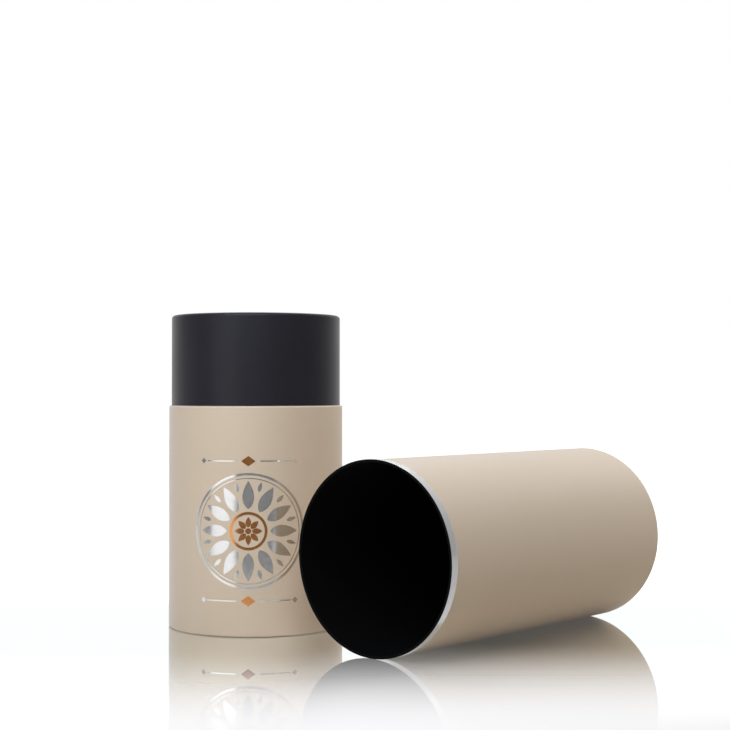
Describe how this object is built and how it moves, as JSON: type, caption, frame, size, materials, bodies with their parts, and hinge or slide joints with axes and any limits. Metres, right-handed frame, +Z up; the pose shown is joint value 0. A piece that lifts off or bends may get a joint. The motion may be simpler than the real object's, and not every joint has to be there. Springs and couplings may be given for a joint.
{
  "type": "gift_tube_box",
  "caption": "Cylindrical paper gift tube box for a bottle: beige standing base with a black neck and silver foil ornament, and its beige lid with a bright rim lying on its side beside it",
  "frame": {"origin": "centre of the flat face that the base stands on", "axes": "+Z up along the base's axis, out of the well; +X along the axis of the lying lid, from its mouth to its closed end; the lid lies on the -Y side of the base"},
  "size_m": [0.164, 0.1807, 0.1425],
  "materials": {
    "beige_paper": "matt uncoated wrapping paper with a fine fibre grain",
    "black_paper": "matt black lining paper with a slight sheen",
    "grey_board": "pressed recycled greyboard with flecks",
    "bright_metal": "bright rolled sheet"
  },
  "bodies": {
    "base": {"base_tube": "grey_board", "base_wrap": "beige_paper", "base_bottom_board": "grey_board", "base_bottom_paper": "beige_paper", "neck_tube": "grey_board", "neck_wrap": "black_paper", "neck_lining": "black_paper", "base_floor_disc": "black_paper"},
    "lid": {"lid_tube": "grey_board", "lid_wrap": "beige_paper", "lid_rim_ring": "bright_metal", "lid_lining": "black_paper", "lid_top_board": "grey_board", "lid_top_paper": "beige_paper", "lid_inner_disc": "black_paper"}
  },
  "joints": [
    {"name": "lid_tip", "type": "hinge", "parent": "base", "child": "lid", "pos_m": [-0.0358, -0.1005, 0], "axis": [0, -1, 0], "range_deg": [0, 90]}
  ]
}
